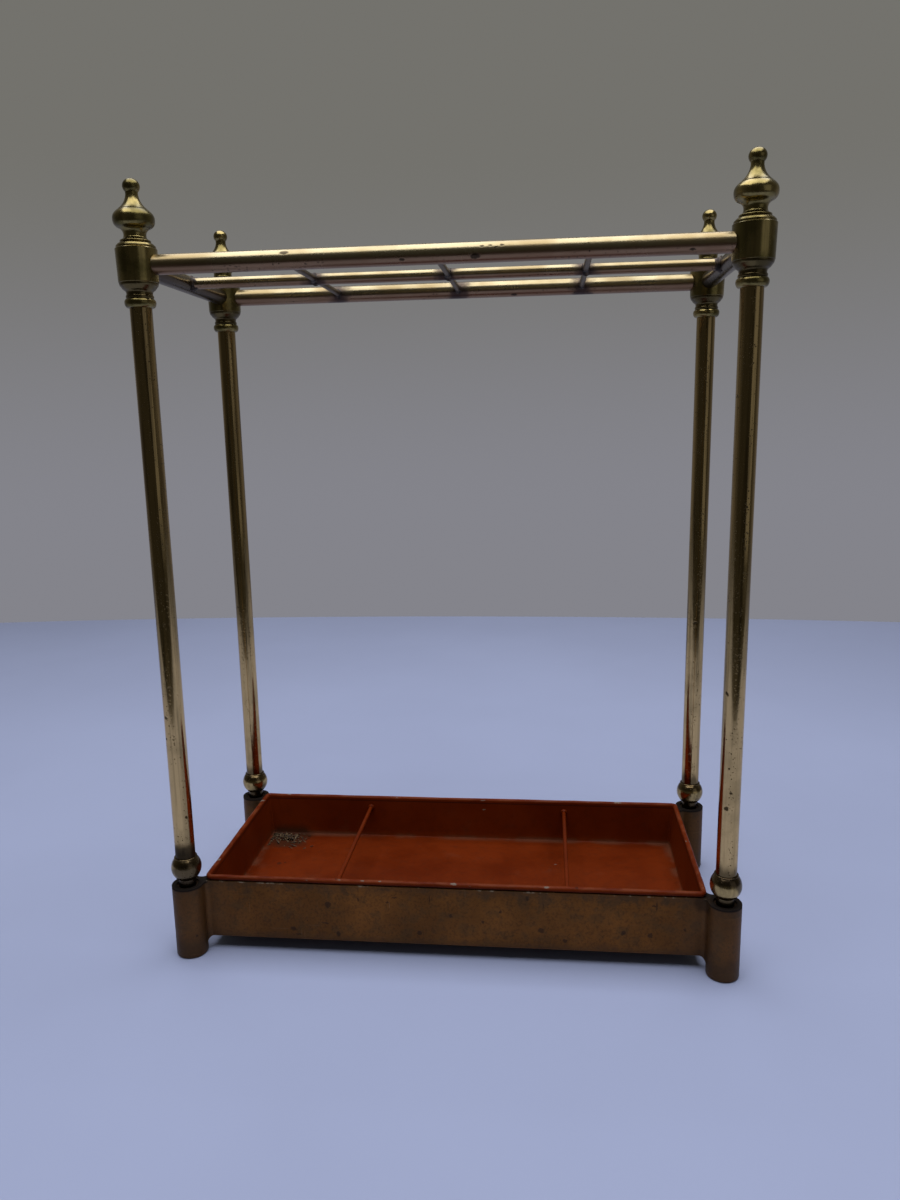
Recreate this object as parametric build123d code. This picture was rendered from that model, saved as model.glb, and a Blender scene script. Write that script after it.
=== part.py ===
from build123d import *
from math import sqrt
import os

# Umbrella stand: four brass tube legs with turned finials on a cast base, a top grid that keeps
# the sticks apart, and a sheet-metal drip tray that lifts out of the base.
# Millimetres, +Z up, X along the long side, Y from front to back.
# The origin is on the floor, in the middle of the four feet.

# Driving dimensions of the plan
leg_spacing_long = 490.0       # between leg axes, left to right
leg_spacing_short = 204.0      # between leg axes, front to back
rail_height = 619.0            # axes of the top rails above the floor

# Base casting
foot_diameter = 29.0
foot_height = 70.0             # the aprons end level with the top of the feet
foot_edge_round = 2.0
apron_ground_gap = 14.0        # daylight under the aprons
apron_thickness = 3.5
long_apron_setback = 5.0       # outer face of the front and back aprons, inside the leg axes
short_apron_setback = 14.0     # outer face of the side aprons, inside the leg axes
apron_foot_round = 5.0         # hollow fillet where a long apron meets a foot
side_foot_round = 6.0          # hollow fillet where a side apron meets a foot
apron_under_round = 7.0        # hollow fillet under an apron, down to the foot
apron_under_sink = 0.4         # that fillet runs this far into the foot, so that it ends on an edge
foot_recess_depth = 1.5        # sunk seat for the ball collar in the top of a foot
foot_recess_gap = 2.0

# Tie rods that clamp each leg, with the nut and washer hidden under the foot
tie_rod_diameter = 6.0
tie_rod_clearance = 0.5        # in every hole that it only passes through
tie_rod_grip = 20.0            # screwed length inside the finial
tie_rod_overhang = 3.0         # thread showing below the nut
tie_rod_floor_gap = 2.5
nut_across_flats = 10.0
nut_thickness = 5.0
washer_diameter = 14.0
washer_thickness = 1.5
washer_clearance = 2.0

# Fits: brazed or screwed joints on one body, and the loose tray
joint_gap = 0.05
tray_seat_gap = 0.3

# Ball collars at the feet
ball_diameter = 27.5
ball_height = 17.0             # centre above the top of the foot
ball_neck_diameter = 16.0
ball_ring_diameter = 20.5      # fine ring around the tube on top of the ball
ball_ring_height = 1.6
ball_socket_floor = 2.0        # the tube stands this far above the centre of the ball

# Leg tubes
leg_tube_diameter = 18.0
leg_tube_wall = 1.2

# Corner heads: a drum that takes two rails, over a neck with a collar ring
drum_top_diameter = 33.4
drum_bottom_diameter = 32.0
drum_above_rail = 12.75        # from the axes of the rails up to the top of the drum
drum_below_rail = 14.15
drum_taper_height = 6.8        # cone from the drum down to the neck
drum_edge_round = 0.8
neck_diameter = 21.0
neck_length = 12.8             # from the cone to the lower lip of the head
collar_diameter = 25.2
collar_height = 4.6            # widest line of the ring above the lower lip
collar_shoulder = 2.6          # from that line up to the groove over the ring
bead_diameter = 22.6
bead_width = 2.6
lip_wall = 0.6
rail_seat_radius = 10.0        # floor of a rail socket from the axis of the head

# Finials
finial_base_diameter = 31.6
finial_base_edge = 1.2
finial_shoulder_radius = 8.5
finial_step_diameter = 24.0    # fine step half way up the shoulder
finial_step_height = 5.6
finial_step_width = 0.7
finial_waist_diameter = 17.8
finial_waist_height = 10.4
finial_cup_diameter = 27.2     # where the hollow over the waist turns out into the bulb
finial_cup_height = 16.3
finial_bulb_diameter = 33.8
finial_bulb_height = 22.6
finial_bell_diameter = 24.2    # where the bulb turns hollow towards the neck
finial_bell_height = 29.8
finial_neck_diameter = 10.0
finial_neck_height = 41.2
finial_tip_diameter = 13.8
finial_height = 54.0

# Rails and rods of the top grid
rail_diameter = 16.0
rail_wall = 1.0
middle_rail_diameter = 10.0
middle_rail_wall = 1.0
cross_rod_diameter = 5.5
cross_rod_count = 3
rod_entry = 2.0                # how far a rod or the middle rail reaches inside a hollow rail

# Drip tray
tray_sheet = 1.0
tray_rim_diameter = 5.0        # sheet rolled over a wire
tray_depth = 42.5              # from the centre of the rim to the floor of the tray
tray_flare = 3.5               # the walls lean out this much from floor to rim
tray_corner_radius = 6.5       # outside of the rim
divider_diameter = 4.0
divider_spacing = 216.0
divider_drop = 9.5             # below the centre of the rim
tray_lift_clear = 14.0         # free height under the tray at the top of its travel

# Levels and places worked out from the sizes above
foot_radius = foot_diameter / 2
leg_x = leg_spacing_long / 2
leg_y = leg_spacing_short / 2
base_half_long = leg_x - short_apron_setback
base_half_short = leg_y - long_apron_setback
apron_height = foot_height - apron_ground_gap
bolt_bore = tie_rod_diameter + 2 * tie_rod_clearance
counterbore_depth = washer_thickness + nut_thickness + tie_rod_overhang + tie_rod_floor_gap
ball_centre = foot_height + ball_height
tube_bottom = ball_centre + ball_socket_floor
drum_bottom = rail_height - drum_below_rail
drum_top = rail_height + drum_above_rail
neck_top = drum_bottom - drum_taper_height
head_bottom = neck_top - neck_length
rail_length_long = leg_spacing_long - 2 * rail_seat_radius
rail_length_short = leg_spacing_short - 2 * rail_seat_radius
rod_reach = rail_diameter / 2 - rail_wall - rod_entry
rim_height = foot_height + tray_seat_gap + tray_rim_diameter / 2
tray_floor_top = rim_height - tray_depth
divider_height = rim_height - divider_drop
tray_lift = foot_height - (tray_floor_top - tray_sheet) + tray_lift_clear

CORNERS = {
    "front_left": (-1, -1),
    "front_right": (1, -1),
    "back_left": (-1, 1),
    "back_right": (1, 1),
}


def leg_place(signs):
    """Location of a leg axis on the floor."""
    return Location((signs[0] * leg_x, signs[1] * leg_y, 0))


def upright(diameter, low, high):
    """Round bar or hole on the Z axis between two levels."""
    bar = Cylinder(diameter / 2, high - low, align=(Align.CENTER, Align.CENTER, Align.MIN))
    return Location((0, 0, low)) * bar


def turned(profile):
    """Solid turned about the Z axis from a closed wire drawn in the XZ plane."""
    return revolve(make_face(profile), Axis.Z)


# Base casting

def fillet_web(foot_offset, radius, start):
    """Hollow fillet in plan between a foot at the origin and a face that lies foot_offset inside
    its axis. The face runs along +X from start, and the metal is on its +Y side."""
    across = foot_offset - radius
    along = sqrt((foot_radius + radius) ** 2 - across ** 2)
    end = along + apron_under_round
    outline = Polyline((0, 0), (along, across), (along, foot_offset), (end, foot_offset),
                       (end, foot_offset + apron_thickness), (start, foot_offset + apron_thickness), close=True)
    return make_face(outline) - Location((along, across)) * Circle(radius)


def under_flare():
    """Hollow fillet turned about a foot, from its side out to the lower edge of the aprons."""
    start = foot_radius - foot_edge_round
    end = foot_radius - apron_under_sink + apron_under_round
    low = apron_ground_gap - apron_under_round
    outline = Polyline((start, apron_ground_gap), (end, apron_ground_gap), (end, low), (start, low), close=True)
    section = make_face(outline) - Location((end, low)) * Circle(apron_under_round)
    return revolve(Plane.XZ * section, Axis.Z)


def foot_column():
    """One foot with a rounded lower edge."""
    round_start = foot_radius - foot_edge_round
    lines = Polyline((round_start, 0), (0, 0), (0, foot_height), (foot_radius, foot_height),
                     (foot_radius, foot_edge_round))
    heel = RadiusArc((foot_radius, foot_edge_round), (round_start, 0), foot_edge_round)
    return turned(Plane.XZ * Wire([*lines.edges(), heel]))


def foot_holes():
    """Bolt hole, counterbore and the sunk seat in one foot."""
    bore = upright(bolt_bore, 0, foot_height)
    counterbore = upright(washer_diameter + 2 * washer_clearance, 0, counterbore_depth)
    seat = upright(ball_neck_diameter + 2 * foot_recess_gap, foot_height - foot_recess_depth, foot_height)
    return bore + counterbore + seat


def base_corner():
    """Foot at the origin with its webs; the stand lies towards +X and +Y."""
    long_plan = fillet_web(long_apron_setback, apron_foot_round, 0)
    short_plan = fillet_web(short_apron_setback, side_foot_round, long_apron_setback)
    short_plan = Rotation(0, 0, -90) * mirror(short_plan, Plane.YZ)
    corner = foot_column()
    for plan in (long_plan, short_plan):
        corner += extrude(Location((0, 0, apron_ground_gap)) * plan, apron_height)
        corner += extrude(plan, apron_ground_gap) & under_flare()
    return corner


def base_frame():
    """The whole casting: four feet joined by four aprons."""
    outside = Rectangle(2 * base_half_long, 2 * base_half_short)
    inside = Rectangle(2 * (base_half_long - apron_thickness), 2 * (base_half_short - apron_thickness))
    frame = extrude(Location((0, 0, apron_ground_gap)) * (outside - inside), apron_height)
    corner = base_corner()
    for signs in CORNERS.values():
        piece = corner
        if signs[0] > 0:
            piece = mirror(piece, Plane.YZ)
        if signs[1] > 0:
            piece = mirror(piece, Plane.XZ)
        frame += leg_place(signs) * piece
    for signs in CORNERS.values():
        frame -= leg_place(signs) * foot_holes()
    return frame


# Legs

def leg_tube():
    outside = upright(leg_tube_diameter, tube_bottom, neck_top)
    return outside - upright(leg_tube_diameter - 2 * leg_tube_wall, tube_bottom, neck_top)


def ball_collar():
    """Ball with a short neck that stands in the foot, and a socket for the tube."""
    seat = foot_height - foot_recess_depth
    ball = Location((0, 0, ball_centre)) * Sphere(ball_diameter / 2)
    socket = leg_tube_diameter + 2 * joint_gap
    ring_foot = ball_centre + sqrt(ball_diameter ** 2 - ball_ring_diameter ** 2) / 2
    ring = upright(ball_ring_diameter, tube_bottom, ring_foot + ball_ring_height)
    neck = upright(ball_neck_diameter, seat, ball_centre)
    collar = ball + ring + neck
    collar -= upright(bolt_bore, seat, tube_bottom)
    return collar - upright(socket, tube_bottom, ball_centre + ball_diameter)


def head_blank():
    """Turned outside of a corner head, solid."""
    lip = leg_tube_diameter / 2 + joint_gap + lip_wall
    neck = neck_diameter / 2
    ring = collar_diameter / 2
    ring_middle = head_bottom + collar_height
    groove = ring_middle + collar_shoulder
    bead_top = groove + bead_width
    low_edge = drum_bottom_diameter / 2
    lower = Polyline((0, drum_top), (0, head_bottom), (lip, head_bottom), (ring, ring_middle))
    shoulder = Line((ring, ring_middle), (neck, groove))
    bead = ThreePointArc((neck, groove), (bead_diameter / 2, groove + bead_width / 2), (neck, bead_top))
    stem = Polyline((neck, bead_top), (neck, neck_top), (low_edge, drum_bottom))
    drum = Polyline((low_edge, drum_bottom), (drum_top_diameter / 2, drum_top), (0, drum_top))
    outline = Wire([*lower.edges(), shoulder, bead, *stem.edges(), *drum.edges()])
    blank = turned(Plane.XZ * outline)
    low_corner = blank.edges().filter_by_position(Axis.Z, drum_bottom - joint_gap, drum_bottom + joint_gap)
    return fillet(low_corner, drum_edge_round)


def corner_head(signs):
    """Head with its tube socket, bolt hole and the two blind sockets for the rails."""
    head = head_blank()
    head -= upright(leg_tube_diameter + 2 * joint_gap, head_bottom, neck_top)
    head -= upright(bolt_bore, neck_top, drum_top)
    socket = Cylinder((rail_diameter + 2 * joint_gap) / 2, drum_top_diameter,
                      align=(Align.CENTER, Align.CENTER, Align.MIN))
    along_x = Location((-signs[0] * rail_seat_radius, 0, rail_height)) * Rotation(0, -90 * signs[0], 0)
    along_y = Location((0, -signs[1] * rail_seat_radius, rail_height)) * Rotation(90 * signs[1], 0, 0)
    return head - along_x * socket - along_y * socket


def finial():
    """Turned finial: stepped shoulder, waist, bell-shaped bulb and a small ball on top."""
    base = finial_base_diameter / 2
    step = finial_step_diameter / 2
    waist = finial_waist_diameter / 2
    cup = finial_cup_diameter / 2
    bulb = finial_bulb_diameter / 2
    bell = finial_bell_diameter / 2
    neck = finial_neck_diameter / 2
    tip = finial_tip_diameter / 2
    tip_centre = finial_height - tip
    tip_start = tip_centre - sqrt(tip ** 2 - neck ** 2)
    edge = Polyline((0, finial_height), (0, 0), (base, 0), (base, finial_base_edge))
    ovolo = RadiusArc((base, finial_base_edge), (step, finial_step_height), -finial_shoulder_radius)
    ledge = Line((step, finial_step_height), (step - finial_step_width, finial_step_height))
    upward = (0, 1)
    step_slope = (-1, 0.55)
    cup_slope = (1, 0.7)
    bell_slope = (-1, 0.75)
    body = Spline((step - finial_step_width, finial_step_height), (waist, finial_waist_height),
                  (cup, finial_cup_height), (bulb, finial_bulb_height), (bell, finial_bell_height),
                  (neck, finial_neck_height),
                  tangents=[step_slope, upward, cup_slope, upward, bell_slope, upward])
    throat = Line((neck, finial_neck_height), (neck, tip_start))
    knob = ThreePointArc((neck, tip_start), (tip, tip_centre), (0, finial_height))
    solid = turned(Plane.XZ * Wire([*edge.edges(), ovolo, ledge, body, throat, knob]))
    thread = upright(tie_rod_diameter + 2 * joint_gap, 0, tie_rod_grip)
    return Location((0, 0, drum_top)) * (solid - thread)


def tie_rod():
    return upright(tie_rod_diameter, tie_rod_floor_gap, drum_top + tie_rod_grip)


def nut():
    low = tie_rod_floor_gap + tie_rod_overhang
    hexagon = RegularPolygon(nut_across_flats / 2, 6, major_radius=False)
    blank = extrude(Location((0, 0, low)) * hexagon, nut_thickness)
    return blank - upright(tie_rod_diameter + 2 * joint_gap, low, low + nut_thickness)


def washer():
    low = counterbore_depth - washer_thickness
    return upright(washer_diameter, low, counterbore_depth) - upright(bolt_bore, low, counterbore_depth)


# Top grid

def lying_bar(diameter, length, axis):
    """Round bar centred on the rail height, along X or Y."""
    turn = Rotation(0, 90, 0) if axis == "X" else Rotation(90, 0, 0)
    return Location((0, 0, rail_height)) * turn * Cylinder(diameter / 2, length)


def lying_tube(diameter, wall, length, axis):
    return lying_bar(diameter, length, axis) - lying_bar(diameter - 2 * wall, length, axis)


def cross_rod_places():
    """X of each cross rod: the rods divide the grid into equal bays."""
    bay = leg_spacing_long / (cross_rod_count + 1)
    return [bay * (index + 1) - leg_x for index in range(cross_rod_count)]


def cross_rod(place):
    length = leg_spacing_short - 2 * rod_reach
    return Location((place, 0, 0)) * lying_bar(cross_rod_diameter, length, "Y")


def rod_holes():
    """Holes for all the cross rods, as long as the rods."""
    length = leg_spacing_short - 2 * rod_reach
    hole = lying_bar(cross_rod_diameter + 2 * joint_gap, length, "Y")
    return [Location((place, 0, 0)) * hole for place in cross_rod_places()]


def long_rail(side):
    rail = Location((0, side * leg_y, 0)) * lying_tube(rail_diameter, rail_wall, rail_length_long, "X")
    return rail - rod_holes()


def side_rail(side):
    rail = Location((side * leg_x, 0, 0)) * lying_tube(rail_diameter, rail_wall, rail_length_short, "Y")
    length = leg_spacing_long - 2 * rod_reach
    return rail - lying_bar(middle_rail_diameter + 2 * joint_gap, length, "X")


def middle_rail():
    length = leg_spacing_long - 2 * rod_reach
    return lying_tube(middle_rail_diameter, middle_rail_wall, length, "X") - rod_holes()


# Drip tray

def tray_block(inset, floor):
    """Solid inside a surface of the flared walls, from a level up to the centre of the rim."""
    rise = (rim_height - floor) / tray_depth
    half_long = base_half_long - tray_rim_diameter + inset
    half_short = base_half_short - tray_rim_diameter + inset
    radius = tray_corner_radius - tray_rim_diameter + inset
    lean = tray_flare * rise
    top = RectangleRounded(2 * half_long, 2 * half_short, radius)
    bottom = RectangleRounded(2 * (half_long - lean), 2 * (half_short - lean), radius)
    return loft([Location((0, 0, floor)) * bottom, Location((0, 0, rim_height)) * top], ruled=True)


def rim_ring(diameter):
    """Round bar bent to the rectangle of the rim, with rounded corners."""
    inset = tray_rim_diameter / 2
    path = RectangleRounded(2 * (base_half_long - inset), 2 * (base_half_short - inset), tray_corner_radius - inset)
    path = Location((0, 0, rim_height)) * path
    start = Location((0, -(base_half_short - inset), rim_height)) * Rotation(0, 90, 0)
    return sweep(start * Circle(diameter / 2), path=path.wire())


def divider_bar(side, diameter):
    """Bar across the tray, cut flush with the outside of its walls."""
    bar = Rotation(90, 0, 0) * Cylinder(diameter / 2, 2 * base_half_short)
    bar = Location((side * divider_spacing / 2, 0, divider_height)) * bar
    return bar & tray_block(tray_sheet, tray_floor_top - tray_sheet)


def drip_tray():
    """Sheet pan with flared walls and a rolled edge."""
    pan = tray_block(tray_sheet, tray_floor_top - tray_sheet) - tray_block(0, tray_floor_top)
    pan += rim_ring(tray_rim_diameter)
    pan -= rim_ring(tray_rim_diameter - 2 * tray_sheet)
    for side in (-1, 1):
        pan -= divider_bar(side, divider_diameter + 2 * joint_gap)
    return pan


def edge_wire():
    return rim_ring(tray_rim_diameter - 2 * tray_sheet - 2 * joint_gap)


# The pieces by name

pieces = {"base_frame": base_frame()}
for corner, signs in CORNERS.items():
    place = leg_place(signs)
    pieces["leg_tube_" + corner] = place * leg_tube()
    pieces["ball_collar_" + corner] = place * ball_collar()
    pieces["corner_head_" + corner] = place * corner_head(signs)
    pieces["finial_" + corner] = place * finial()
    pieces["tie_rod_" + corner] = place * tie_rod()
pieces["tie_rod_nuts"] = Compound([leg_place(signs) * nut() for signs in CORNERS.values()])
pieces["tie_rod_washers"] = Compound([leg_place(signs) * washer() for signs in CORNERS.values()])
pieces["front_rail"] = long_rail(-1)
pieces["back_rail"] = long_rail(1)
pieces["left_rail"] = side_rail(-1)
pieces["right_rail"] = side_rail(1)
pieces["middle_rail"] = middle_rail()
for index, place in enumerate(cross_rod_places()):
    pieces["cross_rod_%d" % (index + 1)] = cross_rod(place)
pieces["drip_tray"] = drip_tray()
pieces["tray_edge_wire"] = edge_wire()
pieces["tray_divider_left"] = divider_bar(-1, divider_diameter)
pieces["tray_divider_right"] = divider_bar(1, divider_diameter)

os.makedirs("parts", exist_ok=True)
for name, piece in pieces.items():
    export_step(piece, os.path.join("parts", name + ".step"))
print("tray lift %.1f mm" % tray_lift)
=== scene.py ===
import math
import random
import bmesh
import bpy
from mathutils import Matrix, Vector, noise
from mathutils.geometry import interpolate_bezier


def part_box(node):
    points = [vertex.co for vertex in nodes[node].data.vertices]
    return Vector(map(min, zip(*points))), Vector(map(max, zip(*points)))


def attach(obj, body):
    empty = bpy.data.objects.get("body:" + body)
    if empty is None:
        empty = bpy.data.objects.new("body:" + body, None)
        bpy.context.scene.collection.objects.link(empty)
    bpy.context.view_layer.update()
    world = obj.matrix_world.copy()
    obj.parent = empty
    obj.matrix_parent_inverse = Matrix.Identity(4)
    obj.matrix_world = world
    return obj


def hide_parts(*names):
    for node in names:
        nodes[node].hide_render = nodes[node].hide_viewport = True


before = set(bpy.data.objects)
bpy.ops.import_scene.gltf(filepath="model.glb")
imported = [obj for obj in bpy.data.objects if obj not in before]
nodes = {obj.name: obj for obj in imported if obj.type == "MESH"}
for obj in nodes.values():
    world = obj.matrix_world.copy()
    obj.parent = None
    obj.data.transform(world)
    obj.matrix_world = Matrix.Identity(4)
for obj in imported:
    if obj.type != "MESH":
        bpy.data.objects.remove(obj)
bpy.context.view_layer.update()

# Looks of an umbrella stand: aged brass on a bronzed casting, with a red drip tray.
# Metres, +Z up, X along the long side, Y from front to back.

CORNERS = ("front_left", "front_right", "back_left", "back_right")


def middle(node):
    """Centre of a node's box."""
    low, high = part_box(node)
    return (low + high) / 2


# Levels and places read from the solids
leg_axis = {corner: middle("leg_tube_" + corner) * Vector((1, 1, 0)) for corner in CORNERS}
foot_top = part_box("base_frame")[1].z
ball_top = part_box("ball_collar_front_left")[1].z
head_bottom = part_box("corner_head_front_left")[0].z
drum_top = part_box("corner_head_front_left")[1].z
drum_radius = (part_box("corner_head_front_left")[1].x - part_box("corner_head_front_left")[0].x) / 2
tube_radius = (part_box("leg_tube_front_left")[1].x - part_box("leg_tube_front_left")[0].x) / 2
tube_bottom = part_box("leg_tube_front_left")[0].z
rail_height = middle("front_rail").z
rail_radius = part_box("front_rail")[1].z - rail_height
middle_rail_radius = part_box("middle_rail")[1].z - rail_height
rod_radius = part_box("cross_rod_1")[1].z - rail_height
rod_bay = middle("cross_rod_2").x - middle("cross_rod_1").x
tray_low, tray_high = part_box("drip_tray")

# Turned work
TURN_STEPS = 96
ARC_STEPS = 8
ROUND_HANDLE = 0.5523       # handles of this share of the way to the corner make a curve nearly circular
LINE_DEPTH = 0.00035        # of a fine step cut round a turned surface

# Corner head, heights above its lower lip
LIP_RADIUS = 0.00965
RING_RADIUS = 0.0126
RING_HEIGHT = 0.0042        # of its widest place
NECK_RADIUS = 0.0105
NECK_FOOT = 0.0074
BEAD_RADIUS = 0.0112
BEAD_TOP = 0.0102
NECK_TOP = 0.0128
SWELL_RADIUS = 0.0130       # where the hollow over the neck turns into the round of the drum's foot
SWELL_HEIGHT = 0.0146
SWELL_LINE_RADIUS = 0.0147  # fine step half way up the round
SWELL_LINE_HEIGHT = 0.0165
DRUM_FOOT = 0.0196
DRUM_FOOT_RADIUS = 0.0160
DRUM_FOOT_ROUND = 0.0020    # height of the round under the foot of the drum
DRUM_EDGE = 0.0005          # slope round its top

# Finial, heights above the drum
FINIAL_BASE_RADIUS = 0.0158
FINIAL_EDGE = 0.0024        # thickness of the bead at the base
STEP_RADIUS = 0.0114
STEP_HEIGHT = 0.0056
STEP_ROUND = 0.0009
WAIST_RADIUS = 0.0089
WAIST_HEIGHT = 0.0104
CUP_RADIUS = 0.0134         # edge under the bulb
CUP_HEIGHT = 0.0163
BULB_RADIUS = 0.01655
BULB_HEIGHT = 0.0226
BELL_RADIUS = 0.0121
BELL_HEIGHT = 0.0298
BELL_LINE_DEPTH = 0.0005    # of the fine step over the bell
BELL_LINE = (0.0001, 0.0004)    # heights of its two ends over the bell
FINIAL_NECK_RADIUS = 0.0050
FINIAL_NECK_HEIGHT = 0.0412
TIP_RADIUS = 0.0069
TIP_HALF_HEIGHT = 0.0062

# Handles of the finial's curves, each named for where its curve ends
STEP_HANDLES = ((0.0145, 0.0036), (0.0130, 0.0042))
WAIST_HANDLES = ((0.0098, 0.0072), (WAIST_RADIUS, 0.0084))
CUP_HANDLES = ((WAIST_RADIUS, 0.0132), (0.0105, 0.0152))
BULB_HANDLES = ((0.0158, 0.0176), (BULB_RADIUS, 0.0198))
BELL_HANDLES = ((BULB_RADIUS, 0.0258), (0.0149, 0.0276))
NECK_HANDLES = ((0.0092, 0.0322), (0.0058, 0.0356))

# Ball collar
BALL_RADIUS = 0.01375
BALL_NECK_RADIUS = 0.0080
TUBE_OVER_CENTRE = 0.002    # from the centre of the ball up to the lower end of the tube
BALL_RING_RADIUS = 0.01025
BALL_RING_HEIGHT = 0.0016
BALL_RING_GROOVE = 0.0003   # fine groove under the ring
BALL_RING_GAP = 0.0003      # between the ring and the tube
BALL_RING_HANDLES = ((0.0005, -0.0011), (0.0004, 0.0))  # out from its radius, and up from its top
SEAT_DEPTH = 0.0015         # how far the neck of the ball stands in the foot

# Casting and tray
CAST_ROUND = 0.0009
SHEET = 0.001
RIM_RADIUS = 0.0025
RIM_CORNER = 0.0065
RIM_SECTION = 16            # sides of its round section
RIM_SIDE_STEPS = 30
RIM_CORNER_STEPS = 8
TRAY_FLARE = 0.0035
TRAY_CORNER = 0.0020
TRAY_FOLD = 0.0014
TRAY_SLICES = (40, 18, 5)   # along X, Y and Z

# Solder
DIVIDER_INSET = 0.0022      # lumps inside the ends of the divider rods
BACK_LUMP = 0.0032
BACK_LUMP_RISE = 0.0004
BACK_LUMP_SHAPE = (1.1, 0.8, 1.0)
FRONT_LUMP = 0.0030
FRONT_LUMP_SHAPE = (1.0, 0.8, 0.9)
COLLAR_STEPS = 24
COLLAR_SINK = 0.0022        # how far a collar starts inside the rail that it sits on
COLLAR_SKIN = 0.0001        # thickness at its thin end
COLLAR_HANDLES = ((0.0004, 0.3), (0.0002, 0.6))     # out from the thin end, and share of the length
ROD_COLLAR = 0.0026         # thickness at the rail
ROD_COLLAR_LENGTH = 0.0062
RAIL_COLLAR = 0.0024
RAIL_COLLAR_LENGTH = 0.0060

# Leaf crumbs
CRUMB_SEED = 5
CRUMB_COUNT = 190
CRUMB_SIZES = (0.0004, 0.0014)
CRUMB_LENGTHS = (1.0, 1.3, 1.8, 2.8, 4.5)
CRUMB_WIDTHS = (0.4, 1.0)
CRUMB_FLATNESS = (0.25, 0.6)
CRUMB_TIP = 0.8             # radians either way
CRUMB_SPREADS = (0.6, 1.0, 1.7)
CRUMB_X = (-0.2185, -0.165)
CRUMB_Y = (0.050, 0.0855)
HEAP_PLACE = Vector((-0.203, 0.0735))
HEAP_SPREAD = (0.0095, 0.0060)
HEAP_HEIGHT = 0.0045
HEAP_REACH = 0.009

# Unevenness: depth, and how fine it is
SHEET_WAVES = (0.0006, 26)
RIM_WAVES = (0.00035, 55)
DIVIDER_LUMPS = (0.0006, 420)
GRID_LUMPS = (0.0006, 330)
CRUMB_LUMPS = (0.0003, 900)

# Mesh work
MERGE = 1e-6
FLAT = math.radians(0.5)
SHARP = math.radians(35)


# Materials

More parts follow.
